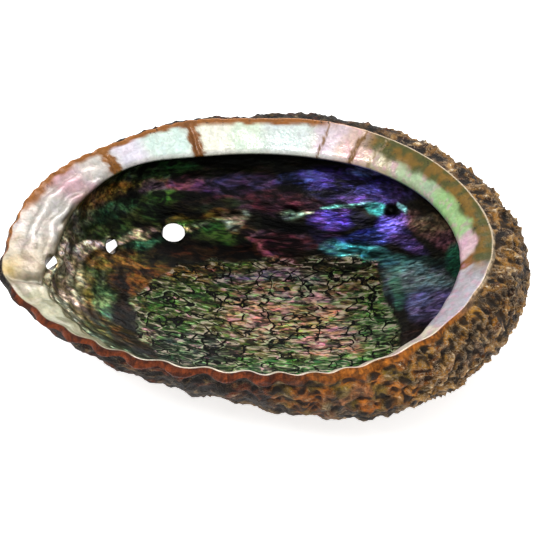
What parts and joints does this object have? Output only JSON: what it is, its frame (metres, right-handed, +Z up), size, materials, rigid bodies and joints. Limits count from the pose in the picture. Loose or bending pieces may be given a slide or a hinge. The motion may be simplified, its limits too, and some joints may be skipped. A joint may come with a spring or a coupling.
{
  "type": "abalone shell",
  "caption": "Empty abalone shell lying open side up: a pearly oval bowl with an inner ledge, a scalloped lip, a row of breathing holes and a crusty spired back.",
  "frame": {"origin": "middle of the underside of the shell's box, on the surface that it rests on", "axes": "+X towards the spire end along the shell's length, +Y towards the pearly ledge and the breathing holes, +Z up out of the open bowl"},
  "size_m": [0.1864, 0.1436, 0.0465],
  "materials": {
    "shell": "mother of pearl inside, crusty and matt outside"
  },
  "bodies": {
    "root": {"shell": "shell"}
  },
  "joints": []
}
